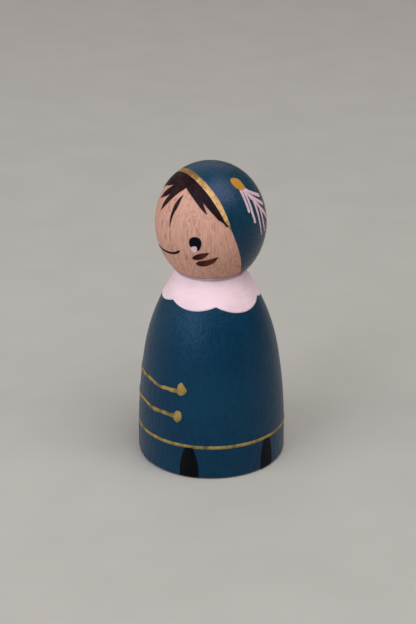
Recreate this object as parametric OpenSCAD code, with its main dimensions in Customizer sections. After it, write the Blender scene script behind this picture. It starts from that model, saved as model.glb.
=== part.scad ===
// Painted peg doll: a turned wooden peg with thin layers of paint that follow its surface.
// Millimetres, +Z up, origin at the centre of the base, the face looks along -Y.
// Turns are degrees to the doll's left from straight ahead, rises are degrees up from the
// middle of the head.

/* [Peg body] */
// Diameter of the straight skirt
body_d = 29; // [26:0.5:33]
// Height from the base to the neck crease
neck_h = 38.4; // [34:0.1:44]
// Diameter at the neck crease
neck_d = 12.6; // [11:0.1:14]
// Height of the straight skirt
skirt_h = 4.6; // [3:0.1:7]
// Radius that rounds the edge of the base
base_round = 0.8; // [0.4:0.1:1.4]
// Lean of the side where the belly curve ends, degrees
belly_lean = 9.5; // [8:0.5:11]
// Lean of the slope that runs up to the neck, degrees
slope_lean = 33; // [30:1:36]
// Length of the straight slope below the neck
slope_len = 1.8; // [1:0.1:3]

/* [Peg head] */
// Width of the head
head_d = 21.3; // [19:0.1:24]
// How much taller than wide the head is
head_rise = 2.3; // [1:0.1:4]
// How much less than half the head's width the radius of its crown and chin is
crown_less = 0.45; // [0.3:0.05:1.2]

/* [Paint thickness] */
// Coat on the body
coat_t = 0.12; // [0.06:0.01:0.2]
// Collar over the coat
collar_t = 0.12; // [0.06:0.01:0.2]
// Cap, band and hair on the head
cap_t = 0.12; // [0.06:0.01:0.2]
// Lines and dots on the bare face
face_t = 0.1; // [0.05:0.01:0.2]
// Badge and feather over the cap
plume_t = 0.12; // [0.06:0.01:0.2]
// Rise of the gold cords and the hem line over the coat
cord_t = 0.1; // [0.06:0.01:0.2]
// Rise of the gold buttons over the coat
button_t = 0.3; // [0.2:0.01:0.5]
// Black wedges over the coat
wedge_t = 0.06; // [0.04:0.01:0.12]

/* [Coat and collar] */
// Bare strip left at the very foot of the coat
coat_foot = 0.2; // [0.1:0.05:0.5]
// How far the collar runs up on to the head
collar_rise = 0.8; // [0.2:0.05:1.2]
// How far below the neck crease the collar's scallops end
collar_drop = 5.15; // [4:0.05:7]
// Radius of a scallop, seen from above
scallop_r = 6.9; // [6:0.1:8]
// Scallops round the collar
scallops = 6; // [5:1:8]
// Turn of the first scallop, degrees
collar_turn = 37; // [20:1:60]

/* [Cap] */
// Turn of the middle of the cap's opening
cap_turn = 0; // [-10:0.5:10]
// How far the opening tips down, degrees
cap_tip = 20.8; // [10:0.2:30]
// How far the cap's edge lies in front of the head's middle
cap_front = 0.64; // [0:0.02:1]
// Width of the gold band
band_w = 1.1; // [0.7:0.05:1.4]
// How far the gold band lies in front of the cap's edge
band_lap = 0.42; // [0.2:0.02:0.6]
// Rise of the band's pointed ends, degrees round the opening
band_end = 12.5; // [10:0.5:25]
// Stretch over which the band thins to its points, degrees round the opening
band_taper = 26; // [15:1:35]

/* [Face] */
// Turn of the open eye
eye_turn = 45.2; // [41:0.2:51]
// Upward turn of the open eye, degrees
eye_rise_turn = -2.8; // [-8:0.2:0]
// Half the width of the open eye
eye_r = 1.17; // [0.9:0.01:1.5]
// Thickness of the winking eye's stroke
wink_w = 0.42; // [0.3:0.02:0.6]

/* [Feather] */
// Thickness of the quill's stroke
quill_w = 0.5; // [0.3:0.05:0.7]
// Thickness of a barb's stroke
barb_w = 0.46; // [0.3:0.02:0.6]

/* [Frogging and hem] */
// Turn of the middle of the frogging
frog_turn = -7; // [-20:1:20]
// Height of the upper cord
upper_cord_z = 17.95; // [16:0.05:20]
// Height of the lower cord
lower_cord_z = 12.85; // [11:0.05:14.5]
// Turn from the middle of the frogging to a button of the upper cord, degrees
upper_button_turn = 43.8; // [37:0.1:50]
// Turn from the middle of the frogging to a button of the lower cord, degrees
lower_button_turn = 40.9; // [34:0.1:47]
// How far the middle of an upper button lies above its cord
upper_button_lift = 0.55; // [0:0.05:0.8]
// Width of the gold cords
cord_w = 0.62; // [0.4:0.02:0.9]
// Half the width of the gold buttons
button_r = 1.2; // [0.9:0.02:1.5]
// Height of the hem line
hem_z = 6.75; // [5.5:0.05:8.5]
// Turn of the hem line's highest point, degrees
hem_high_turn = 57; // [0:1:90]
// How much the hem line tips, from its middle to its highest point
hem_tip = 0.15; // [0:0.05:0.6]
// Width of the hem line
hem_w = 0.68; // [0.4:0.02:1]
// Width of a black wedge where it meets the hem line
wedge_top_w = 1.3; // [0.8:0.1:2.5]
// Width of a black wedge at the base
wedge_foot_w = 3.8; // [2.5:0.1:5]

/* [Hidden] */
$fn = 96;
// Steps of a full circle as large as the profile's arcs
arc_steps = round($fn * 8 / 3);
// Steps of a painted outline between two of its points
curve_steps = floor($fn / 18);
// How far an arc of the body's profile runs on inside the one below it, degrees
lap_lean = 1;

// Body profile: skirt, belly arc, shoulder arc and slope, each tangent to the next
body_r = body_d / 2;
neck_r = neck_d / 2;
arc_fall = body_r - neck_r - slope_len * sin(slope_lean);
arc_climb = neck_h - skirt_h - slope_len * cos(slope_lean);
belly_fall_share = 1 - cos(belly_lean);
belly_climb_share = sin(belly_lean);
shoulder_fall_share = cos(belly_lean) - cos(slope_lean);
shoulder_climb_share = sin(slope_lean) - sin(belly_lean);
arcs_share = belly_fall_share * shoulder_climb_share - shoulder_fall_share * belly_climb_share;
belly_r = (arc_fall * shoulder_climb_share - arc_climb * shoulder_fall_share) / arcs_share;
shoulder_r = (arc_climb * belly_fall_share - arc_fall * belly_climb_share) / arcs_share;
belly_x = body_r - belly_r;
shoulder_x = belly_x + (belly_r - shoulder_r) * cos(belly_lean);
shoulder_z = skirt_h + (belly_r - shoulder_r) * sin(belly_lean);

// Head profile: four-centre oval, seated on the neck crease
head_r = head_d / 2;
head_half_h = head_r + head_rise / 2;
crown_r = head_r - crown_less;
crown_off = head_half_h - crown_r;
temple_off = (pow(crown_off, 2) - pow(crown_less, 2)) / (2 * crown_less);
temple_r = head_r + temple_off;
temple_lean = atan2(crown_off, temple_off);
temple_half_h = temple_r * sin(temple_lean);
head_z = neck_h + sqrt(pow(crown_r, 2) - pow(neck_r, 2)) + crown_off;
peg_h = head_z + head_half_h;
temple_top_rise = atan2(temple_half_h, temple_r * cos(temple_lean) - temple_off);
reach = 2 * peg_h;

// Collar: its edge on the head, and how far out its scallops reach, seen from above
collar_top_z = neck_h + collar_rise;
tip_lean = asin((neck_h - collar_drop - shoulder_z) / shoulder_r);
collar_tip_r = shoulder_x + (shoulder_r + coat_t + collar_t) * cos(tip_lean);

// Cap: the band's outline in the cap's own frame, as [forward, up] of the head's middle
band_front = cap_front + band_lap;
band_rear = band_front - band_w;
function band_up(share) = head_r * sin(band_end + share * band_taper);
band_rear_side = [[-band_rear, reach], [-band_rear, band_up(1.3)],
                  [-band_rear - band_w * 0.2, band_up(0.7)],
                  [-band_rear - band_w * 0.45, band_up(0.25)], [-cap_front, band_up(0)]];
band_front_side = [[-cap_front, band_up(0)], [-band_front, band_up(0.4)], [-band_front, reach]];

// Middle of the upper buttons
upper_button_z = upper_cord_z + upper_button_lift;

// Domes of paint: the hem line's own width, and a spot somewhat wider than a button
hem_dome_r = (pow(cord_t, 2) + pow(hem_w / 2, 2)) / (2 * cord_t);
dome_spot_r = button_r * 1.3;
button_dome_r = (pow(button_t, 2) + pow(dome_spot_r, 2)) / (2 * button_t);

// Turn of the upright plane where the two halves of the fringe meet, degrees
fringe_split_turn = -25;
// How far each half of the fringe runs on past that plane
fringe_lap = 1;
// Outline of the fringe's near half and where it is seen from, [turn, rise] in degrees
near_look_turns = [21, 28];
near_run_turns = [
    [[78.4, 13.2], [76.8, 15.2], [74.9, 17.6], [70, 21], [65.7, 25.5], [60.4, 30.7], [51.4, 38.8]],
    [[51.4, 38.8], [57.5, 26.8]],
    [[57.5, 26.8], [51.9, 30.8], [41.3, 39.8], [30.5, 46.7], [23.2, 50.7]],
    [[23.2, 50.7], [9.8, 39.2], [1, 28.5], [-6.2, 21]],
    [[-6.2, 21], [-4.4, 30.2], [-0.4, 37.6], [3.1, 42.1]],
    [[3.1, 42.1], [-5.3, 36.5], [-18.9, 29.9]],
    [[-18.9, 29.9], [-14.4, 39.4], [-3.7, 49]],
    [[-3.7, 49], [-18.2, 44.6], [-27.2, 42], [-35, 38.8], [-49, 31]]
];
near_crown_turns = [[-39, 46], [-39, 78], [61, 78], [96, 50], [93, 22]];
// The same for its far half, degrees
far_look_turns = [-55, 28];
far_run_turns = [
    [[-3.7, 49], [-18.2, 44.6], [-27.2, 42], [-35, 38.8], [-49, 31]],
    [[-49, 31], [-47, 38.5], [-43, 45.5]],
    [[-43, 45.5], [-53, 36.5], [-63, 25.5]],
    [[-63, 25.5], [-61, 32.5], [-57, 39.5]],
    [[-57, 39.5], [-68, 28.5], [-79, 13.5]]
];
far_crown_turns = [[-94, 20], [-97, 50], [-69, 78], [1, 75]];
// Outline of the loose strand, [turn, rise] in degrees
strand_look_turns = [16, 26];
strand_run_turns = [
    [[23.3, 43.3], [18.3, 37.4], [15.5, 30.3], [14.3, 22.3], [14.1, 14.9], [14.5, 8.1]],
    [[14.5, 8.1], [16.3, 17.9], [18.2, 24.3], [21.2, 31.8], [23.3, 43.3]]
];
// Outlines of the open eye and its glint, in eye_r from the eye's middle
eye_look_turns = [eye_turn, eye_rise_turn];
eye_shares = [[-1, 0.2], [-0.85, 0.65], [-0.5, 0.92], [0.05, 1.05], [0.6, 0.92], [0.93, 0.55],
              [1.02, 0.05], [0.93, -0.5], [0.72, -1], [0.45, -1.24], [0, -1.15], [-0.6, -0.85],
              [-0.95, -0.35], [-1, 0.2]];
glint_shares = [[-0.72, -0.78], [-0.3, -0.55], [0.1, -0.52], [0.31, -0.78], [0.26, -1.15],
                [0.18, -1.46], [-0.12, -1.67], [-0.45, -1.5], [-0.68, -1.18], [-0.72, -0.78]];
// Path of the winking eye's stroke, [turn, rise] in degrees, and its widths in wink_w
wink_look_turns = [-1, -19];
wink_path_turns = [[-14, -19.7], [-11, -20.3], [-6.5, -20.7], [-1.8, -20.8], [5, -20.7],
                   [12.2, -20.1], [17.8, -19], [22.8, -17], [25.9, -14.9]];
wink_width_shares = [0.35, 0.5, 0.65, 0.75, 0.85, 1, 1, 1.05, 0.9];
// Outlines of the lips, [turn, rise] in degrees
lip_look_turns = [53, -22];
upper_lip_turns = [
    [[40.8, -19.8], [43.7, -17.3], [46.5, -15.4], [52.4, -13.5], [59.3, -13]],
    [[59.3, -13], [55.8, -17.3], [51.1, -20.5], [45.7, -21.8], [42.1, -21.3], [40.8, -19.8]]
];
lower_lip_turns = [
    [[44.1, -27], [48.2, -23.5], [54.6, -22.3], [61.6, -20.2], [68.7, -17.8]],
    [[68.7, -17.8], [66.4, -22.8], [61.8, -26.5], [54.2, -29.5], [47.5, -29.4], [44.1, -27]]
];
// Outline of the badge, [turn, rise] in degrees
plume_look_turns = [115, 35];
badge_turns = [
    [[98.3, 59.2], [102.2, 60.3], [108.4, 59.8], [113.3, 58], [115.9, 55.3], [116.3, 51.8],
     [116.1, 48.5], [114.6, 46.6], [110.9, 45.6], [106.1, 45.8], [101.7, 48.2], [98.3, 51.8],
     [97.1, 55.8], [98.3, 59.2]]
];
// Paths of the feather's strokes, [turn, rise] in degrees, and their widths in their own unit
quill_path_turns = [[109.4, 48.2], [115.3, 38.4], [121.6, 30.4], [128.8, 21.4], [136.8, 12.9], [142.6, 4.3]];
quill_width_shares = [0.8, 1.1, 1.15, 1.2, 1.4, 0.8];
barb_path_turns = [
    [[105.4, 49.2], [105.6, 39.2], [106.2, 30.9], [106.6, 24.1]],
    [[109.4, 47.2], [110.8, 32.9], [110.9, 22.7], [112.5, 11.8]],
    [[112.1, 48], [117.6, 42.8], [126.2, 38.1], [136.6, 33.2]],
    [[112.2, 42.9], [118.8, 36.9], [127.4, 30.4], [137, 24.2]],
    [[119.3, 34.2], [119.8, 25], [120.4, 12.7], [123.1, -4.6]],
    [[126.8, 23.2], [127.5, 14.3], [128.6, 5.4], [131.1, -2.9]]
];
barb_width_shares = [
    [0.9, 1, 1.05, 1.1],
    [0.9, 1.05, 1, 1],
    [0.9, 1.3, 1.55, 1.65],
    [0.9, 1.2, 1.4, 1.5],
    [1, 1, 0.9, 0.35],
    [1, 1, 0.9, 0.4]
];

// Half a cord from its middle to its button: how far along, how much higher in cord_w, and
// how wide in cord_w
upper_cord_shares = [[0, 0.5, 1], [0.18, 0.65, 1], [0.36, 0.2, 0.95], [0.51, -0.2, 0.85],
                     [0.6, -0.05, 1.1], [0.71, 0.1, 1.05], [0.79, 0, 1.25], [0.9, 0.1, 1.3],
                     [1, 0.3, 1.4]];
lower_cord_shares = [[0, 0.5, 0.8], [0.12, 0.4, 0.8], [0.27, 0.05, 1], [0.37, -0.15, 1.15],
                     [0.44, -0.23, 1.25], [0.51, -0.1, 1.25], [0.6, 0.08, 0.95], [0.7, 0.08, 1.2],
                     [0.81, 0.02, 1.15], [1, 0, 1.5]];
// Outlines of the buttons on the doll's left, in button_r from a button's middle
upper_button_shares = [[-0.8, 0.15], [-0.63, 0.7], [-0.12, 1.07], [0.48, 0.42], [0.82, -0.18],
                       [0.46, -0.74], [-0.2, -1.06], [-0.64, -0.93], [-0.82, -0.6],
                       [-0.8, 0.15]];
lower_button_shares = [[-0.15, 1], [0.45, 0.87], [0.72, 0.34], [0.65, -0.35], [0.06, -0.98],
                       [-0.4, -0.8], [-0.72, -0.28], [-0.67, 0.48], [-0.15, 1]];

// Hand-painted unevenness: turn and reach of each scallop, and the wedges round the hem
scallop_shift_turns = [1.5, 6, 5, 2, 0, 0.5];
scallop_reach_shares = [0.993, 1.032, 1.01, 1, 0.99, 0.99];
wedge_turns = [43.3, 108.6, 183, 256, 329];
wedge_top_shares = [1, 1, 1.1, 1.15, 1];
wedge_foot_shares = [1.03, 0.87, 0.95, 1, 0.9];
// Heights up a wedge, and how much of its spread is left there
wedge_shares = [[0, 1], [0.4, 0.91], [0.6, 0.735], [0.75, 0.527], [0.88, 0.283], [1, 0]];

// Distance from the middle of the head to its surface at a given rise
function head_reach(rise) =
    let (up = abs(rise))
    up < temple_top_rise
        ? sqrt(pow(temple_r, 2) - pow(temple_off * sin(up), 2)) - temple_off * cos(up)
        : sqrt(pow(crown_r, 2) - pow(crown_off * cos(up), 2)) + crown_off * sin(up);

// A place on the head, seen square on from the direction look
function seen(place, look) =
    let (side = place[0] - look[0])
    let (across = cos(place[1]) * sin(side))
    let (above = sin(place[1]) * cos(look[1]) - cos(place[1]) * sin(look[1]) * cos(side))
    head_reach(place[1]) * [across, above];

function seen_all(places, look) = [for (place = places) seen(place, look)];

// Point of a smooth curve between b and c, with their neighbours a and d
function curve_point(a, b, c, d, t) =
    (2 * b + t * (c - a) + t * t * (2 * a - 5 * b + 4 * c - d)
     + t * t * t * (3 * b - a - 3 * c + d)) / 2;

// Smooth curve through points, without the last one
function curve(points) =
    let (last = len(points) - 1)
    [for (i = [0:last - 1]) for (s = [0:curve_steps - 1])
        curve_point(points[max(i - 1, 0)], points[i], points[i + 1], points[min(i + 2, last)],
                    s / curve_steps)];

// Closed outline from runs that meet at sharp corners
function outline(runs, look) = [for (run = runs) each curve(seen_all(run, look))];

// Smooth curve through points, with the last one
function whole_curve(points) = concat(curve(points), [points[len(points) - 1]]);

// Directions along a line at its points
function ways(points) =
    let (last = len(points) - 1)
    [for (i = [0:last])
        let (way = points[min(i + 1, last)] - points[max(i - 1, 0)])
        way / norm(way)];

// One side of a brush stroke: the line moved sideways by half its width at each point
function stroke_side(line, half_ws) =
    let (along = ways(line))
    [for (i = [0:len(line) - 1]) line[i] + half_ws[i] * [along[i][1], -along[i][0]]];

function reversed(list) = [for (i = [len(list) - 1:-1:0]) list[i]];

// Round end of a brush stroke, from its one side to the other
function stroke_end(at, along, half_w) =
    [for (a = [60:-30:-60]) at + half_w * (cos(a) * along + sin(a) * [along[1], -along[0]])];

// Outline of a brush stroke along a line, w wide times the shares at the line's points
function stroke_points(points, w, shares) =
    let (line = whole_curve(points))
    let (half_ws = whole_curve(shares) * w / 2)
    let (last = len(line) - 1)
    let (along = ways(line))
    concat(stroke_side(line, half_ws), stroke_end(line[last], along[last], half_ws[last]),
           reversed(stroke_side(line, -half_ws)), stroke_end(line[0], -along[0], half_ws[0]));

// Lean of the belly at height z, and the place there moved outwards by out
function belly_lean_at(z) = asin((z - skirt_h) / belly_r);
function belly_place(z, out) =
    [belly_x, skirt_h] + (belly_r + out) * [cos(belly_lean_at(z)), sin(belly_lean_at(z))];

// Half a cord's line seen from the front, and the whole of it
function half_cord(shares, z, turn) =
    [for (s = shares) [belly_place(z, coat_t)[0] * sin(s[0] * turn), z + s[1] * cord_w]];
function whole_cord(half) = concat([for (p = reversed(half)) if (p[0] > 0) [-p[0], p[1]]], half);

// Right half of the body's profile, grown outwards by layers of paint
module body_half(grow) {
    top = [shoulder_x, shoulder_z] + (shoulder_r + grow) * [cos(slope_lean), sin(slope_lean)];
    intersection() {
        square([body_r + grow, reach]);
        union() {
            square([body_r - base_round, skirt_h]);
            translate([0, base_round]) square([body_r + grow, skirt_h - base_round]);
            translate([body_r - base_round, base_round]) circle(base_round + grow);
            arc_slice([belly_x, skirt_h], belly_r + grow, -lap_lean, belly_lean);
            arc_slice([shoulder_x, shoulder_z], shoulder_r + grow, belly_lean - lap_lean, slope_lean);
            polygon([[0, shoulder_z], top, [0, top[1] + top[0] / tan(slope_lean)]]);
        }
    }
}

// Right half of the head's profile, grown outwards by layers of paint
module head_half(grow) {
    arc_slice([-temple_off, head_z], temple_r + grow, -temple_lean, temple_lean);
    arc_slice([0, head_z + crown_off], crown_r + grow, 0, 90);
    arc_slice([0, head_z - crown_off], crown_r + grow, -90, 0);
}

module peg_half() {
    body_half(0);
    head_half(0);
}

// Part of a circle between two leans, as far in as the axis
module arc_slice(centre, r, low, high) {
    intersection() {
        translate(centre) circle(r, $fn = arc_steps);
        translate([0, centre[1] + r * sin(low)]) square([centre[0] + r, r * (sin(high) - sin(low))]);
    }
}

module above(z) {
    translate([0, z]) square([reach, reach]);
}

// Layer on the head between two thicknesses of paint
module head_skin(inner, outer) {
    rotate_extrude() intersection() {
        difference() {
            head_half(outer);
            head_half(inner);
        }
        above(collar_top_z);
    }
}

// Layer on the coat
module coat_skin(t) {
    rotate_extrude() intersection() {
        difference() {
            body_half(coat_t + t);
            body_half(coat_t);
        }
        above(coat_foot);
    }
}

// Flat outline cast outwards from the middle of the head
module cast(look) {
    translate([0, 0, head_z]) rotate([90 - look[1], 0, look[0]]) linear_extrude(reach) children();
}

module on_face(look) {
    intersection() {
        head_skin(0, face_t);
        cast(look) children();
    }
}

// Closed outline on the face, from its runs and where it is seen from
module face_mark(runs, look) {
    on_face(look) polygon(outline(runs, look));
}

module on_cap() {
    intersection() {
        head_skin(cap_t, cap_t + plume_t);
        cast(plume_look_turns) children();
    }
}

// Brush stroke along a path on the head
module stroke(path, look, w, shares) {
    polygon(stroke_points(seen_all(path, look), w, shares));
}

// The cap's own frame: its opening faces -Y there, and outlines run on across its width
module across_cap(outline_points) {
    translate([0, 0, head_z]) rotate([cap_tip, 0, cap_turn]) rotate([90, 0, 90])
        translate([0, 0, -reach / 2]) linear_extrude(reach) polygon(outline_points);
}

module wooden_peg() {
    color([0.84, 0.68, 0.55]) rotate_extrude() peg_half();
}

module coat_paint() {
    color([0.1, 0.24, 0.36]) rotate_extrude() difference() {
        intersection() {
            body_half(coat_t);
            above(coat_foot);
        }
        peg_half();
    }
}

module collar_paint() {
    color([0.93, 0.8, 0.83]) intersection() {
        rotate_extrude() difference() {
            union() {
                body_half(coat_t + collar_t);
                intersection() {
                    head_half(collar_t);
                    square([reach, collar_top_z]);
                }
            }
            body_half(coat_t);
            peg_half();
        }
        scallop_ring();
    }
}

module scallop_ring() {
    for (i = [0:scallops - 1]) {
        n = i % len(scallop_reach_shares);
        scallop_off = scallop_reach_shares[n] * collar_tip_r - scallop_r;
        rotate([0, 0, collar_turn + i * 360 / scallops + scallop_shift_turns[n]])
            translate([0, -scallop_off, 0]) linear_extrude(reach) circle(scallop_r);
    }
}

// Everything behind the cap's edge, up to one side of the band and behind it
module behind_edge(side) {
    across_cap(concat([[-cap_front, -reach], [reach, -reach], [reach, reach]], side));
}

module cap_paint() {
    color([0.07, 0.26, 0.33]) intersection() {
        head_skin(0, cap_t);
        behind_edge(band_rear_side);
    }
}

module cap_band() {
    color([0.86, 0.66, 0.38]) intersection() {
        head_skin(0, cap_t);
        across_cap(concat(band_rear_side, band_front_side));
    }
}

module hair_fringe() {
    color([0.16, 0.09, 0.1]) difference() {
        intersection() {
            head_skin(0, cap_t);
            union() {
                intersection() {
                    cast(near_look_turns)
                        polygon(concat(outline(near_run_turns, near_look_turns),
                                       seen_all(near_crown_turns, near_look_turns)));
                    fringe_side(-fringe_lap);
                }
                intersection() {
                    cast(far_look_turns)
                        polygon(concat(outline(far_run_turns, far_look_turns),
                                       seen_all(far_crown_turns, far_look_turns)));
                    fringe_side(fringe_lap - reach);
                }
            }
        }
        behind_edge(reversed(band_front_side));
    }
}

// Room to one side of the upright plane where the two halves of the fringe meet
module fringe_side(start) {
    rotate([0, 0, fringe_split_turn]) translate([start, -reach / 2, 0]) cube(reach);
}

module loose_strand() {
    color([0.16, 0.09, 0.1]) face_mark(strand_run_turns, strand_look_turns);
}

module glint_shape() {
    polygon(curve(eye_r * glint_shares));
}

module open_eye() {
    color([0.06, 0.05, 0.07]) on_face(eye_look_turns) difference() {
        polygon(curve(eye_r * eye_shares));
        glint_shape();
    }
}

module eye_glint() {
    color([0.9, 0.82, 0.85]) on_face(eye_look_turns) glint_shape();
}

module winking_eye() {
    color([0.08, 0.06, 0.07]) on_face(wink_look_turns)
        stroke(wink_path_turns, wink_look_turns, wink_w, wink_width_shares);
}

module upper_lip() {
    color([0.3, 0.12, 0.09]) face_mark(upper_lip_turns, lip_look_turns);
}

module lower_lip() {
    color([0.3, 0.12, 0.09]) face_mark(lower_lip_turns, lip_look_turns);
}

module badge_shape() {
    polygon(outline(badge_turns, plume_look_turns));
}

module quill_shape() {
    stroke(quill_path_turns, plume_look_turns, quill_w, quill_width_shares);
}

module cap_badge() {
    color([0.79, 0.55, 0.17]) on_cap() badge_shape();
}

module feather_quill() {
    color([0.9, 0.8, 0.85]) on_cap() difference() {
        quill_shape();
        badge_shape();
    }
}

module feather_barbs() {
    color([0.9, 0.8, 0.85]) on_cap() difference() {
        for (i = [0:len(barb_path_turns) - 1]) {
            stroke(barb_path_turns[i], plume_look_turns, barb_w, barb_width_shares[i]);
        }
        quill_shape();
        badge_shape();
    }
}

// Outline cast on to the coat from straight ahead of a given turn
module cast_on_coat(turn) {
    rotate([90, 0, turn]) linear_extrude(reach) children();
}

// The coated body near height z, as a cone that touches it there
module coat_cone(z, half_h) {
    side = [-sin(belly_lean_at(z)), cos(belly_lean_at(z))] * half_h;
    low = belly_place(z, coat_t) - side;
    high = belly_place(z, coat_t) + side;
    rotate_extrude($fn = arc_steps) polygon([[0, low[1]], low, high, [0, high[1]]]);
}

// A button's outline on its side of the doll, 1 to the left and -1 to the right
module button_shape(z, shares, side) {
    translate([0, z]) polygon([for (p = curve(button_r * shares)) [side * p[0], p[1]]]);
}

module frog_button(z, turn, shares, side) {
    place = belly_place(z, coat_t + button_t - button_dome_r);
    color([0.72, 0.6, 0.3]) difference() {
        intersection() {
            rotate([0, 0, frog_turn + side * turn]) translate([0, -place[0], place[1]])
                sphere(button_dome_r, $fn = 144);
            cast_on_coat(frog_turn + side * turn) button_shape(z, shares, side);
        }
        coat_cone(z, 2 * button_r);
    }
}

module frog_cord(z, button_z, turn, cord_shares, button_shares) {
    widths = [for (s = cord_shares) [s[0], s[2]]];
    shares = [for (p = whole_cord(widths)) p[1]];
    color([0.72, 0.6, 0.3]) difference() {
        intersection() {
            coat_skin(cord_t);
            cast_on_coat(frog_turn)
                polygon(stroke_points(whole_cord(half_cord(cord_shares, z, turn)), cord_w, shares));
        }
        for (side = [-1, 1]) {
            cast_on_coat(frog_turn + side * turn) button_shape(button_z, button_shares, side);
        }
    }
}

module upper_frog_cord() {
    frog_cord(upper_cord_z, upper_button_z, upper_button_turn, upper_cord_shares,
              upper_button_shares);
}

module lower_frog_cord() {
    frog_cord(lower_cord_z, lower_cord_z, lower_button_turn, lower_cord_shares,
              lower_button_shares);
}

module upper_button(side) {
    frog_button(upper_button_z, upper_button_turn, upper_button_shares, side);
}

module lower_button(side) {
    frog_button(lower_cord_z, lower_button_turn, lower_button_shares, side);
}

// The hem line's ring tips a little, as its highest point lies hem_tip above its middle
module tip_hem() {
    translate([0, 0, hem_z]) rotate([0, 0, hem_high_turn]) rotate([-atan(hem_tip / body_r), 0, 0])
        rotate_extrude() translate([0, -hem_z]) children();
}

// Section of the hem line: a low dome with its flat back against the coat
module hem_line() {
    color([0.62, 0.52, 0.26]) tip_hem() translate(belly_place(hem_z, coat_t))
        rotate(belly_lean_at(hem_z)) intersection() {
            translate([cord_t - hem_dome_r, 0]) circle(hem_dome_r, $fn = 64);
            translate([0, -hem_dome_r]) square(2 * hem_dome_r);
        }
}

module hem_wedge(i) {
    hem_at = hem_z + hem_tip * cos(wedge_turns[i] - hem_high_turn);
    top = wedge_top_w * wedge_top_shares[i] / 2;
    foot = wedge_foot_w * wedge_foot_shares[i] / 2;
    side = [for (s = wedge_shares) [top + (foot - top) * s[1], hem_at * s[0]]];
    color([0.07, 0.06, 0.08]) difference() {
        intersection() {
            coat_skin(wedge_t);
            cast_on_coat(wedge_turns[i])
                polygon(concat(side, [for (p = reversed(side)) [-p[0], p[1]]]));
        }
        tip_hem() translate(belly_place(hem_z, coat_t + cord_t - hem_dome_r)) circle(hem_dome_r);
    }
}

wooden_peg();
coat_paint();
collar_paint();
cap_paint();
cap_band();
hair_fringe();
loose_strand();
open_eye();
eye_glint();
winking_eye();
upper_lip();
lower_lip();
cap_badge();
feather_quill();
feather_barbs();
upper_frog_cord();
lower_frog_cord();
upper_button(1);  // upper_left_button
upper_button(-1);  // upper_right_button
lower_button(1);  // lower_left_button
lower_button(-1);  // lower_right_button
hem_line();
hem_wedge(0);  // hem_wedge_1
hem_wedge(1);  // hem_wedge_2
hem_wedge(2);  // hem_wedge_3
hem_wedge(3);  // hem_wedge_4
hem_wedge(4);  // hem_wedge_5
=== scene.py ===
"""Dresses the turned peg doll: beech grain, hand-brushed paint, studio and camera.

Every length is in metres unless its name says otherwise, in the frame of the model:
+Z up the turning axis, the doll's front towards -Y, its base on Z = 0.
"""
import math

import bpy
from bpy.props import FloatProperty, FloatVectorProperty, PointerProperty
from mathutils import Matrix, Vector


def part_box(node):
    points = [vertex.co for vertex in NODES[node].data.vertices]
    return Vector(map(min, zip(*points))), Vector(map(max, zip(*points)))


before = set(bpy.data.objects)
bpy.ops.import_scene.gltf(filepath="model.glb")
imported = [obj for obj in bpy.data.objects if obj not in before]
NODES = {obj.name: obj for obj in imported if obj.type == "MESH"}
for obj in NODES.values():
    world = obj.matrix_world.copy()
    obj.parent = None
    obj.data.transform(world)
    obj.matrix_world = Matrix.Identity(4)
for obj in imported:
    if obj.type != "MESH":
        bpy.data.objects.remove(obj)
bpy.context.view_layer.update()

bl_info = {
    "name": "Painted peg doll",
    "version": (1, 0, 0),
    "blender": (4, 5, 0),
    "location": "View3D > Sidebar > Peg doll",
    "description": "Dresses a turned wooden peg doll in beech grain and brushed paint",
    "category": "Object",
}

MM = 0.001
PEG_LOW, PEG_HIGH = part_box("wooden_peg")
PEG_HEIGHT = PEG_HIGH[2] - PEG_LOW[2]

COLOUR, NUMBER, VECTOR = "NodeSocketColor", "NodeSocketFloat", "NodeSocketVector"
GREY = (0.5, 0.5, 0.5, 1.0)

# The beech's sizes
RING_GAP = 1.6 * MM
FLECK_WIDTH = 0.13 * MM
FLECK_LENGTH = 1.3 * MM
# How far the doll's axis lies from the tree's pith, and how far and fast the rings waver
AXIS_FROM_PITH = (32 * MM, 21 * MM, 0.0)
RING_WAVER = 4 * MM
WAVER_SCALE = (90.0, 90.0, 12.0)
# Marks in the beech and on the floor: how fast each changes along X, Y and Z, per metre,
# and the noise at which it starts and at which it is full
RING_BREAKS = (500.0, 500.0, 40.0), (0.35, 0.7)
FIBRES = (3600.0, 3600.0, 170.0), (0.4, 0.66)
FLECK_CROWDS = (420.0, 420.0, 90.0), (0.35, 0.7)
VESSELS = (2300.0, 2300.0, 210.0), (0.66, 0.76)
FLOOR_MOTTLE = (60.0, 60.0, 60.0), (0.3, 0.7)
# How fast the flecks change, per width and length of one, and the noise at which they
# start and are full
FLECK_RATE = 0.5
FLECK_EDGE = (0.57, 0.68)
# The part of a ring's wave at which its late wood starts and is full
RING_EDGE = (0.1, 1.0)
# How much of its darker colour each mark takes, and how deep a fibre is, as a share of a
# fleck's depth
RING_DARKNESS = 0.3
FIBRE_DARKNESS = 0.5
FLECK_DARKNESS = 0.85
FIBRE_DENT = 0.5

# Offsets that keep the vessels and the paint's patches apart from the other marks
VESSEL_OFFSET = (1.3, 0.6, 0.2)
PATCH_OFFSET = (3.1, 1.7, 0.4)

# How fast each brush's bristle marks change along X, Y and Z, per metre
ALONG_GRAIN = (1400.0, 1400.0, 70.0)
CROSSED_STROKES = (1300.0, 1300.0, 420.0)
ROUND_THE_DOLL = (160.0, 160.0, 1700.0)
SHORT_STROKES = (900.0, 900.0, 600.0)
# How much patches, bristle marks and a fade each say where the paint is thin, and the sum
# at which it starts to be thin and is thinnest
PATCH_SHARE = 0.6
BRISTLE_SHARE = 0.4
FADE_SHARE = 0.2
THIN_EDGE = (0.42, 0.66)
# The share of its reach at which a fade starts and is full
FADE_EDGE = (0.4, 1.0)
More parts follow.
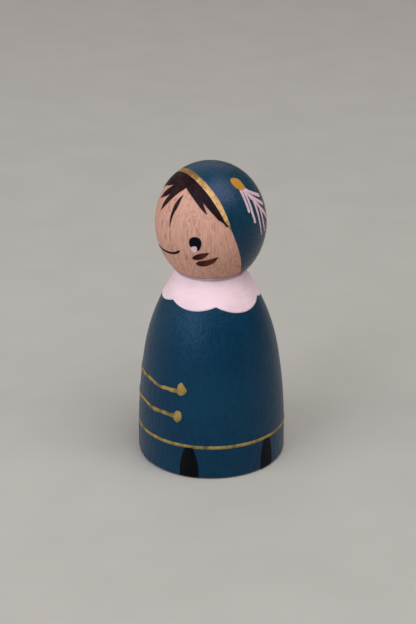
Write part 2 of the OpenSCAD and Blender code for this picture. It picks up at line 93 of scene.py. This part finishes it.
# Heights far below and above the doll, for paint that doesn't fade between them
NO_FADE = (-1.0, 1.0)
# Fine specks in the paint: how fast they change, per metre, and how far apart they set its
# highest and lowest roughness
SPECK_SCALE = 2200.0
SPECK_ROUGHNESS = 0.3
# How much of a ridge's height comes from bristle marks, and how much from specks
BRISTLE_HEIGHT = 0.6
SPECK_HEIGHT = 0.4
# The grain's heights at which a pore starts to show through paint and is full, and how
# much of the thin colour it takes
PORE_EDGE = (0.9, 0.2)
PORE_SHOW = 0.35
# Strengths of the bumps, and how deep the bare wood's are
WOOD_BUMP = 0.3
RIDGE_BUMP = 0.8
PORE_BUMP = 0.5
WOOD_BUMP_DEPTH = 0.03 * MM

# Colours of the soft shine on the paint
SKY_BLUE = (0.42, 0.64, 1.0)
VIOLET_BLUE = (0.62, 0.56, 1.0)
# Where the collar starts to darken under its upper edge, and over what height: painted shade
# in the neck crease under the head, as well as thin paint there
COLLAR_CREASE_SHADE_START = 1.4 * MM
COLLAR_CREASE_SHADE_REACH = 0.8 * MM

FLOOR_SPAN = 40 * PEG_HEIGHT
FLOOR_SHADE = 0.96
# Each light's name, the length of its side, its place as seen from the camera (right,
# back and up from the middle of the doll's base) and its colour
LIGHTS = (
    ("key", 1.0, (0.30, -0.36, 0.98), (1.0, 0.96, 0.97)),
    ("fill", 0.7, (-0.66, -0.46, 0.62), (0.98, 0.95, 1.0)),
    ("window", 0.4, (-0.45, -0.80, 0.42), (0.8, 0.9, 1.0)),
    ("top", 0.8, (-0.1, 0.75, 0.6), (1.0, 0.75, 0.85)),
    ("side", 0.8, (-0.95, 0.10, 0.35), (0.9, 1.0, 0.92)),
)
SKY_COLOUR = (1.0, 0.98, 0.87)
SENSOR_WIDTH_MM = 36.0
NEAREST_SEEN = 10 * MM


def colour_property(name, default, description):
    return FloatVectorProperty(name=name, description=description, subtype="COLOR",
                               size=3, min=0.0, max=1.0, default=default)


def power_property(name, default):
    return FloatProperty(name=name, description="In watts", subtype="POWER", unit="POWER",
                         min=0.0, default=default)


class PegDollWood(bpy.types.PropertyGroup):
    """Colours and sizes of the beech"""
    early: colour_property("Early wood", (0.65, 0.365, 0.278),
                           "Pale wood between the rings")
    late: colour_property("Late wood", (0.43, 0.208, 0.148), "Darker wood of the rings")
    fleck: colour_property("Ray flecks", (0.38, 0.15, 0.10),
                           "Short brown flecks of the beech")
    ring_gap: FloatProperty(name="Ring gap", default=RING_GAP, min=0.5 * MM, max=5 * MM,
                            subtype="DISTANCE", description="Distance between growth rings")
    fleck_width: FloatProperty(name="Fleck width", default=FLECK_WIDTH, min=0.05 * MM,
                               max=1 * MM, subtype="DISTANCE",
                               description="Width of a fleck")
    fleck_length: FloatProperty(name="Fleck length", default=FLECK_LENGTH, min=0.5 * MM,
                                max=8 * MM, subtype="DISTANCE",
                                description="Length of a fleck")


class PegDollPaint(bpy.types.PropertyGroup):
    """Colours of the paints"""
    coat: colour_property("Coat", (0.0006, 0.026, 0.061), "Blue of the coat")
    coat_thin: colour_property("Thin coat", (0.003, 0.047, 0.09),
                               "Coat where the brush left little")
    cap: colour_property("Cap", (0.001, 0.031, 0.057), "Teal blue of the cap")
    cap_thin: colour_property("Thin cap", (0.006, 0.054, 0.092),
                              "Cap where the brush left little")
    collar: colour_property("Collar", (0.93, 0.705, 0.77), "Pinkish white of the collar")
    # Thin collar between strokes, and also the painted shade in the neck crease under the head
    collar_thin_and_crease_shade: colour_property("Thin collar", (0.48, 0.385, 0.44),
                                 "Collar between its strokes")
    band: colour_property("Band", (0.70, 0.435, 0.185), "Gold of the cap's band")
    band_thin: colour_property("Thin band", (0.20, 0.10, 0.03),
                               "Band where the gold is thin")
    gold: colour_property("Cords", (0.36, 0.24, 0.07), "Old gold of cords and buttons")
    gold_thin: colour_property("Thin cords", (0.065, 0.072, 0.034),
                               "Gold over blue where it is thin")
    hair: colour_property("Hair", (0.011, 0.0036, 0.004), "Brown black of the hair")
    hair_thin: colour_property("Thin hair", (0.046, 0.017, 0.015),
                               "Hair at the strokes' edges")
    black: colour_property("Black", (0.001, 0.001, 0.0014), "Black of lines and wedges")
    black_thin: colour_property("Thin black", (0.009, 0.0065, 0.007),
                                "Black where it is thin")
    white: colour_property("White", (0.74, 0.545, 0.61), "Pinkish white of plume and glint")
    white_thin: colour_property("Thin white", (0.33, 0.25, 0.31), "White where it is thin")
    lips: colour_property("Lips", (0.03, 0.006, 0.0035), "Brown of the lips")
    lips_thin: colour_property("Thin lips", (0.12, 0.032, 0.015),
                               "Lips where the brown is thin")
    badge: colour_property("Badge", (0.52, 0.245, 0.04), "Ochre of the badge")
    badge_thin: colour_property("Thin badge", (0.33, 0.145, 0.026), "Badge where it is thin")


class PegDollStage(bpy.types.PropertyGroup):
    """Camera, floor and lights"""
    azimuth: FloatProperty(name="Azimuth", default=math.radians(61), subtype="ANGLE",
                           description="Turn of the camera round the doll")
    elevation: FloatProperty(name="Elevation", default=math.radians(23), subtype="ANGLE",
                             description="Rise of the camera above the horizon")
    distance: FloatProperty(name="Distance", default=309.9 * MM, subtype="DISTANCE",
                            description="From the camera to the point that it aims at")
    aim_height: FloatProperty(name="Aim height", default=29.28 * MM, subtype="DISTANCE",
                              description="Height of that point above the floor")
    aim_left: FloatProperty(name="Aim left", default=0.59 * MM, subtype="DISTANCE",
                            description="How far left of the doll's axis the camera aims")
    roll: FloatProperty(name="Roll", default=math.radians(0.31), subtype="ANGLE",
                        description="Lean of the camera to its right")
    lens: FloatProperty(name="Focal length", default=91.15, min=10, max=300,
                        description="In millimetres, on a 36 mm sensor")
    floor: colour_property("Floor", (0.47, 0.465, 0.43), "Pale floor")
    key_power: power_property("Key light", 9.0)
    fill_power: power_property("Fill light", 3.7)
    window_power: power_property("Window light", 1.7)
    top_power: power_property("Top light", 0.85)
    side_power: power_property("Side light", 1.3)
    sky_strength: FloatProperty(name="Sky", default=0.14, min=0,
                                description="Strength of the soft light all round")


def opaque(colour):
    """A colour with full alpha."""
    return (*colour, 1.0)


class Shader:
    """A node tree that is built from left to right."""

    def __init__(self, tree):
        self.tree = tree

    def add(self, kind, **values):
        """A node with its properties."""
        node = self.tree.nodes.new(kind)
        for name, value in values.items():
            setattr(node, name, value)
        return node

    def fill(self, socket, value):
        """Links a socket to another one, or gives it a value."""
        if isinstance(value, bpy.types.NodeSocket):
            self.tree.links.new(value, socket)
        else:
            socket.default_value = value

    def feed(self, node, **inputs):
        """Fills a node's inputs by name."""
        for name, value in inputs.items():
            self.fill(node.inputs[name.replace("_", " ")], value)
        return node

    def math(self, operation, a, b=0.0, c=0.0):
        node = self.add("ShaderNodeMath", operation=operation)
        for socket, value in zip(node.inputs, (a, b, c)):
            self.fill(socket, value)
        return node.outputs["Value"]

    def mix(self, factor, a, b):
        """Colour a where the factor is 0, and colour b where it is 1."""
        node = self.add("ShaderNodeMix", data_type="RGBA")
        for index, value in ((0, factor), (6, a), (7, b)):
            self.fill(node.inputs[index], value)
        return node.outputs[2]

    def ramp(self, value, low, high):
        """0 at low, 1 at high, smooth between."""
        node = self.add("ShaderNodeMapRange", interpolation_type="SMOOTHSTEP")
        self.feed(node, Value=value, From_Min=low, From_Max=high)
        return node.outputs["Result"]

    def place(self, scale=(1.0, 1.0, 1.0), offset=(0.0, 0.0, 0.0)):
        """The doll's own coordinates, scaled and moved."""
        where = self.add("ShaderNodeTexCoord").outputs["Object"]
        node = self.add("ShaderNodeMapping")
        self.feed(node, Vector=where, Location=offset, Scale=scale)
        return node.outputs["Vector"]

    def scaled(self, scale):
        """The doll's own coordinates, times a vector socket."""
        node = self.add("ShaderNodeVectorMath", operation="MULTIPLY")
        self.fill(node.inputs[0], self.place())
        self.fill(node.inputs[1], scale)
        return node.outputs["Vector"]

    def parts(self, vector):
        """A vector's X, Y and Z."""
        node = self.add("ShaderNodeSeparateXYZ")
        return self.feed(node, Vector=vector).outputs

    def noise(self, vector, scale=1.0, detail=2.0, roughness=0.5):
        node = self.add("ShaderNodeTexNoise")
        self.feed(node, Vector=vector, Scale=scale, Detail=detail, Roughness=roughness)
        return node.outputs["Fac"]

    def marks(self, scale, edge, detail=1.0, roughness=0.5, offset=(0.0, 0.0, 0.0)):
        """A mask of marks that change at a rate of their own along each axis."""
        noise = self.noise(self.place(scale, offset), detail=detail, roughness=roughness)
        return self.ramp(noise, *edge)

    def bump(self, height, strength, distance, **under):
        """The surface's normal with small heights on it, or on the normal under them."""
        node = self.add("ShaderNodeBump")
        self.feed(node, Strength=strength, Distance=distance, Height=height, **under)
        return node.outputs["Normal"]


def new_group(name, inputs, outputs):
    """A shader node group with its sockets, and its input and output nodes."""
    tree = bpy.data.node_groups.new(name, "ShaderNodeTree")
    for socket, kind, default in inputs:
        made = tree.interface.new_socket(socket, in_out="INPUT", socket_type=kind)
        made.default_value = default
    for socket, kind in outputs:
        tree.interface.new_socket(socket, in_out="OUTPUT", socket_type=kind)
    shader = Shader(tree)
    return shader, shader.add("NodeGroupInput").outputs, shader.add("NodeGroupOutput")


def grain_group():
    """Beech: growth rings round a pith that lies off the axis, fibres, ray flecks and
    vessels. Height is lower in the dark marks."""
    shader, given, out = new_group(
        "beech_grain",
        [("Early", COLOUR, GREY), ("Late", COLOUR, GREY), ("Fleck", COLOUR, GREY),
         ("Ring Gap", NUMBER, RING_GAP), ("Fleck Width", NUMBER, FLECK_WIDTH),
         ("Fleck Length", NUMBER, FLECK_LENGTH)],
        [("Color", COLOUR), ("Height", NUMBER)])
    away = shader.parts(shader.place(offset=AXIS_FROM_PITH))
    squares = shader.math("ADD", shader.math("MULTIPLY", away["X"], away["X"]),
                          shader.math("MULTIPLY", away["Y"], away["Y"]))
    waver = shader.noise(shader.place(WAVER_SCALE))
    reach = shader.math("ADD", shader.math("SQRT", squares),
                        shader.math("MULTIPLY", waver, RING_WAVER))
    turn = shader.math("DIVIDE", shader.math("MULTIPLY", reach, 2 * math.pi),
                       given["Ring Gap"])
    ring = shader.ramp(shader.math("SINE", turn), *RING_EDGE)
    ring = shader.math("MULTIPLY", ring, shader.marks(*RING_BREAKS, detail=3.0))
    fibre = shader.marks(*FIBRES, detail=2.0, roughness=0.6)
    across = shader.math("DIVIDE", 1.0, given["Fleck Width"])
    along = shader.math("DIVIDE", 1.0, given["Fleck Length"])
    per_fleck = shader.feed(shader.add("ShaderNodeCombineXYZ"), X=across, Y=across, Z=along)
    flecks = shader.noise(shader.scaled(per_fleck.outputs["Vector"]), scale=FLECK_RATE,
                          detail=1.0)
    fleck = shader.math("MULTIPLY", shader.ramp(flecks, *FLECK_EDGE),
                        shader.marks(*FLECK_CROWDS))
    fleck = shader.math("MAXIMUM", fleck, shader.marks(*VESSELS, offset=VESSEL_OFFSET))
    late = shader.math("MULTIPLY_ADD", ring, RING_DARKNESS,
                       shader.math("MULTIPLY", fibre, FIBRE_DARKNESS))
    wood = shader.mix(late, given["Early"], given["Late"])
    wood = shader.mix(shader.math("MULTIPLY", fleck, FLECK_DARKNESS), wood, given["Fleck"])
    dents = shader.math("ADD", fleck, shader.math("MULTIPLY", fibre, FIBRE_DENT))
    shader.feed(out, Color=wood, Height=shader.math("SUBTRACT", 1.0, dents))


def brush_group():
    """Brushed paint: where it lies thick or thin, along its strokes and in patches, and
    its small ridges. It turns to its thin colour over the fade's reach below Full Low and
    above Full High, which stands for thin paint, and on the collar also for painted shade
    in the neck crease."""
    shader, given, out = new_group(
        "brushed_paint",
        [("Paint", COLOUR, GREY), ("Thin", COLOUR, GREY), ("Stroke", VECTOR, ALONG_GRAIN),
         ("Patch", NUMBER, 140.0), ("Thinness", NUMBER, 0.5), ("Dullness", NUMBER, 0.5),
         ("Full Low", NUMBER, NO_FADE[0]), ("Full High", NUMBER, NO_FADE[1]),
         ("Fade Reach", NUMBER, 1.0)],
        [("Color", COLOUR), ("Roughness", NUMBER), ("Height", NUMBER)])
    bristles = shader.noise(shader.scaled(given["Stroke"]), detail=3.0, roughness=0.6)
    patches = shader.noise(shader.place(offset=PATCH_OFFSET), scale=given["Patch"])
    spread = shader.math("MULTIPLY_ADD", patches, PATCH_SHARE,
                         shader.math("MULTIPLY", bristles, BRISTLE_SHARE))
    height = shader.parts(shader.place())["Z"]
    away = shader.math("MAXIMUM", shader.math("SUBTRACT", given["Full Low"], height),
                       shader.math("SUBTRACT", height, given["Full High"]))
    fade = shader.ramp(shader.math("DIVIDE", away, given["Fade Reach"]), *FADE_EDGE)
    spread = shader.math("MULTIPLY_ADD", fade, FADE_SHARE, spread)
    thin = shader.math("MULTIPLY", shader.ramp(spread, *THIN_EDGE),
                       shader.math("MAXIMUM", given["Thinness"], fade))
    speck = shader.noise(shader.place(), scale=SPECK_SCALE, roughness=0.6)
    rough = shader.math("ADD", given["Dullness"],
                        shader.math("MULTIPLY_ADD", speck, SPECK_ROUGHNESS,
                                    -SPECK_ROUGHNESS / 2))
    ridge = shader.math("MULTIPLY_ADD", bristles, BRISTLE_HEIGHT,
                        shader.math("MULTIPLY", speck, SPECK_HEIGHT))
    shader.feed(out, Color=shader.mix(thin, given["Paint"], given["Thin"]), Roughness=rough,
                Height=ridge)


def new_material(name):
    """A material with only its Principled shader, and a way to add nodes to it."""
    material = bpy.data.materials.new(name)
    material.use_nodes = True
    shader = Shader(material.node_tree)
    return material, shader, material.node_tree.nodes["Principled BSDF"]


def group_node(shader, group, **inputs):
    """The outputs of a node group that is placed in a material."""
    node = shader.add("ShaderNodeGroup", node_tree=bpy.data.node_groups[group])
    return shader.feed(node, **inputs).outputs


def grain_node(shader, **colours):
    """The beech's grain, at the sizes set for this doll."""
    wood = bpy.context.scene.peg_doll_wood
    return group_node(shader, "beech_grain", Ring_Gap=wood.ring_gap,
                      Fleck_Width=wood.fleck_width, Fleck_Length=wood.fleck_length, **colours)


def beech():
    """Bare sanded beech."""
    wood = bpy.context.scene.peg_doll_wood
    material, shader, bsdf = new_material("sanded_beech")
    grain = grain_node(shader, Early=opaque(wood.early), Late=opaque(wood.late),
                       Fleck=opaque(wood.fleck))
    normal = shader.bump(grain["Height"], WOOD_BUMP, WOOD_BUMP_DEPTH)
    shader.feed(bsdf, Base_Color=grain["Color"], Normal=normal, Roughness=0.6,
                Specular_IOR_Level=0.1)
    return material


def paint(name, colour, thin, stroke, patch=140.0, thinness=0.5, dullness=0.5,
          ridge=0.03 * MM, pores=0.0, shine=0.12, sheen=SKY_BLUE, full=NO_FADE,
          fade_reach=1.0):
    """Satin craft paint. Stroke is how fast its bristle marks change along X, Y and Z, and
    patch how fast its thick and thin patches change, per metre. Thinness is how much of
    the thin colour shows, and dullness how rough the paint is. Ridge is how high its
    bristle marks are, and pores how deep the wood's pores show. Shine is how much it
    mirrors, and sheen in what colour. Full is the heights between which it is thick,
    before it fades over fade_reach."""
    material, shader, bsdf = new_material(name)
    coat = group_node(shader, "brushed_paint", Paint=opaque(colour), Thin=opaque(thin),
                      Stroke=stroke, Patch=patch, Thinness=thinness, Dullness=dullness,
                      Full_Low=full[0], Full_High=full[1], Fade_Reach=fade_reach)
    shade, normal = coat["Color"], shader.bump(coat["Height"], RIDGE_BUMP, ridge)
    if pores:
        grain = grain_node(shader)
        normal = shader.bump(grain["Height"], PORE_BUMP, pores, Normal=normal)
        lines = shader.ramp(grain["Height"], *PORE_EDGE)
        shade = shader.mix(shader.math("MULTIPLY", lines, PORE_SHOW), shade, opaque(thin))
    shader.feed(bsdf, Base_Color=shade, Roughness=coat["Roughness"], Normal=normal,
                Specular_IOR_Level=shine, Specular_Tint=opaque(sheen))
    return material


def wear(material, *nodes):
    """Gives the nodes one material."""
    for node in nodes:
        slots = NODES[node].data.materials
        slots.clear()
        slots.append(material)


class PegDollWoodOperator(bpy.types.Operator):
    """Dress the turned peg in bare beech"""
    bl_idname = "peg_doll.wood"
    bl_label = "Beech peg"

    def execute(self, context):
        wear(beech(), "wooden_peg")
        return {"FINISHED"}


class PegDollCoatOperator(bpy.types.Operator):
    """Paint the coat blue"""
    bl_idname = "peg_doll.coat"
    bl_label = "Coat"

    def execute(self, context):
        colours = context.scene.peg_doll_paint
        wear(paint("coat_blue", colours.coat, colours.coat_thin, CROSSED_STROKES, patch=90.0,
                   thinness=0.45, dullness=0.34, ridge=0.24 * MM, pores=0.022 * MM,
                   shine=0.32), "coat_paint")
        return {"FINISHED"}


class PegDollCollarOperator(bpy.types.Operator):
    """Paint the scalloped collar, darker in the neck crease: thin paint there, and painted
    shade of the crease
    """
    bl_idname = "peg_doll.collar"
    bl_label = "Collar"

    def execute(self, context):
        colours = context.scene.peg_doll_paint
        # Painted shade: above this height, in the neck crease under the head, the collar
        # darkens towards its thin colour, partly as thin paint
        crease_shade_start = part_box("collar_paint")[1][2] - COLLAR_CREASE_SHADE_START
        wear(paint("collar_pink_white", colours.collar, colours.collar_thin_and_crease_shade, ROUND_THE_DOLL,
                   patch=220.0, thinness=0.24, dullness=0.55, ridge=0.05 * MM,
                   full=(NO_FADE[0], crease_shade_start), fade_reach=COLLAR_CREASE_SHADE_REACH), "collar_paint")
        return {"FINISHED"}


class PegDollCapOperator(bpy.types.Operator):
    """Paint the cap, and its gold band that thins towards its top and its lower ends"""
    bl_idname = "peg_doll.cap"
    bl_label = "Cap and band"

    def execute(self, context):
        colours = context.scene.peg_doll_paint
        wear(paint("cap_teal", colours.cap, colours.cap_thin, ALONG_GRAIN, patch=90.0,
                   thinness=0.5, dullness=0.28, ridge=0.17 * MM, pores=0.05 * MM, shine=0.42,
                   sheen=VIOLET_BLUE), "cap_paint")
        low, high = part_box("cap_band")
        middle = (low[2] + high[2]) / 2
        wear(paint("band_gold", colours.band, colours.band_thin, SHORT_STROKES, patch=1500.0,
                   thinness=0.6, ridge=0.05 * MM, full=(middle, middle),
                   fade_reach=high[2] - middle), "cap_band")
        return {"FINISHED"}


class PegDollPlumeOperator(bpy.types.Operator):
    """Paint the badge and the feather on the cap"""
    bl_idname = "peg_doll.plume"
    bl_label = "Badge and feather"

    def execute(self, context):
        colours = context.scene.peg_doll_paint
        wear(paint("badge_ochre", colours.badge, colours.badge_thin, SHORT_STROKES),
             "cap_badge")
        wear(paint("plume_white", colours.white, colours.white_thin, ALONG_GRAIN,
                   thinness=0.35), "feather_quill", "feather_barbs")
        return {"FINISHED"}


class PegDollHairOperator(bpy.types.Operator):
    """Paint the fringe and the loose strand"""
    bl_idname = "peg_doll.hair"
    bl_label = "Hair"

    def execute(self, context):
        colours = context.scene.peg_doll_paint
        wear(paint("hair_brown", colours.hair, colours.hair_thin, ALONG_GRAIN, patch=500.0,
                   thinness=0.45, dullness=0.4, ridge=0.05 * MM, pores=0.02 * MM),
             "hair_fringe", "loose_strand")
        return {"FINISHED"}


class PegDollFaceOperator(bpy.types.Operator):
    """Paint the eyes and the lips"""
    bl_idname = "peg_doll.face"
    bl_label = "Face"

    def execute(self, context):
        colours = context.scene.peg_doll_paint
        wear(paint("line_black", colours.black, colours.black_thin, SHORT_STROKES),
             "open_eye", "winking_eye")
        wear(paint("glint_white", colours.white, colours.white_thin, SHORT_STROKES),
             "eye_glint")
        wear(paint("lip_brown", colours.lips, colours.lips_thin, SHORT_STROKES,
                   thinness=0.8), "upper_lip", "lower_lip")
        return {"FINISHED"}


class PegDollGoldOperator(bpy.types.Operator):
    """Paint the cords, their buttons and the hem line"""
    bl_idname = "peg_doll.gold"
    bl_label = "Cords and hem"

    def execute(self, context):
        colours = context.scene.peg_doll_paint
        for name, patch, thinness, nodes in (
                ("cord_gold", 650.0, 0.8, ("upper_frog_cord", "lower_frog_cord")),
                ("button_gold", 1300.0, 0.6, ("upper_left_button", "upper_right_button",
                                             "lower_left_button", "lower_right_button")),
                ("hem_gold", 420.0, 0.85, ("hem_line",))):
            wear(paint(name, colours.gold, colours.gold_thin, SHORT_STROKES, patch=patch,
                       thinness=thinness, ridge=0.05 * MM), *nodes)
        return {"FINISHED"}


class PegDollWedgeOperator(bpy.types.Operator):
    """Paint the black wedges under the hem line"""
    bl_idname = "peg_doll.wedges"
    bl_label = "Hem wedges"

    def execute(self, context):
        colours = context.scene.peg_doll_paint
        black = paint("wedge_black", colours.black, colours.black_thin, ALONG_GRAIN)
        wear(black, *[name for name in NODES if name.startswith("hem_wedge_")])
        return {"FINISHED"}


def area_light(name, power, size, place, colour):
    """A soft square light that looks at the middle of the doll."""
    data = bpy.data.lights.new(name, "AREA")
    data.energy, data.size, data.color = power, size, colour
    light = bpy.data.objects.new(name, data)
    light.location = place
    aim = Vector((0.0, 0.0, PEG_HEIGHT / 2)) - place
    light.rotation_euler = aim.to_track_quat("-Z", "Y").to_euler()
    bpy.context.collection.objects.link(light)


class PegDollStageOperator(bpy.types.Operator):
    """Set the floor, the lights and the camera"""
    bl_idname = "peg_doll.stage"
    bl_label = "Floor, lights and camera"

    def floor(self, stage):
        """A pale, faintly mottled floor."""
        bpy.ops.mesh.primitive_plane_add(size=FLOOR_SPAN)
        floor = bpy.context.object
        floor.name = "floor"
        material, shader, bsdf = new_material("pale_floor")
        shade = [FLOOR_SHADE * part for part in stage.floor]
        pale = shader.mix(shader.marks(*FLOOR_MOTTLE, detail=3.0), opaque(stage.floor),
                          opaque(shade))
        shader.feed(bsdf, Base_Color=pale, Roughness=0.8)
        floor.data.materials.append(material)

    def lights(self, stage):
        """Square lights that keep their places beside the camera, and soft light all
        round."""
        turn = Matrix.Rotation(stage.azimuth, 3, "Z")
        for name, size, place, colour in LIGHTS:
            power = getattr(stage, name + "_power")
            area_light(name, power, size, turn @ Vector(place), colour)
        world = bpy.data.worlds.new("soft_studio")
        world.use_nodes = True
        sky = world.node_tree.nodes["Background"]
        sky.inputs["Color"].default_value = opaque(SKY_COLOUR)
        sky.inputs["Strength"].default_value = stage.sky_strength
        bpy.context.scene.world = world
        bpy.context.scene.view_settings.view_transform = "Standard"

    def camera(self, stage):
        """The camera at its place round the doll, with its aim and its roll."""
        data = bpy.data.cameras.new("photo_view")
        data.sensor_width, data.lens = SENSOR_WIDTH_MM, stage.lens
        data.clip_start = NEAREST_SEEN
        camera = bpy.data.objects.new("photo_view", data)
        turn, rise = stage.azimuth, stage.elevation
        back = Vector((math.sin(turn) * math.cos(rise), -math.cos(turn) * math.cos(rise),
                       math.sin(rise)))
        right = Vector((math.cos(turn), math.sin(turn), 0.0))
        middle = Vector((0.0, 0.0, stage.aim_height))
        camera.location = middle + back * stage.distance
        aim = middle - right * stage.aim_left - camera.location
        lean = Matrix.Rotation(-stage.roll, 3, "Z").to_quaternion()
        camera.rotation_mode = "QUATERNION"
        camera.rotation_quaternion = aim.to_track_quat("-Z", "Y") @ lean
        bpy.context.collection.objects.link(camera)
        bpy.context.scene.camera = camera

    def execute(self, context):
        stage = context.scene.peg_doll_stage
        self.floor(stage)
        self.lights(stage)
        self.camera(stage)
        return {"FINISHED"}


class PegDollPanel(bpy.types.Panel):
    """Lists the doll's steps in the sidebar"""
    bl_idname = "VIEW3D_PT_peg_doll"
    bl_label = "Peg doll"
    bl_space_type = "VIEW_3D"
    bl_region_type = "UI"
    bl_category = "Peg doll"

    def draw(self, context):
        for step in STEPS:
            self.layout.operator(step.bl_idname)


SETTINGS = {"peg_doll_wood": PegDollWood, "peg_doll_paint": PegDollPaint,
            "peg_doll_stage": PegDollStage}
STEPS = (PegDollWoodOperator, PegDollCoatOperator, PegDollCollarOperator, PegDollCapOperator,
         PegDollPlumeOperator, PegDollHairOperator, PegDollFaceOperator, PegDollGoldOperator,
         PegDollWedgeOperator, PegDollStageOperator)
CLASSES = (*SETTINGS.values(), *STEPS, PegDollPanel)


def register():
    for made in CLASSES:
        bpy.utils.register_class(made)
    for name, settings in SETTINGS.items():
        setattr(bpy.types.Scene, name, PointerProperty(type=settings))


def unregister():
    for name in SETTINGS:
        delattr(bpy.types.Scene, name)
    for made in reversed(CLASSES):
        bpy.utils.unregister_class(made)


def main():
    """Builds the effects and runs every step."""
    register()
    grain_group()
    brush_group()
    for step in STEPS:
        getattr(bpy.ops.peg_doll, step.bl_idname.split(".")[1])()


if __name__ == "__main__":
    main()
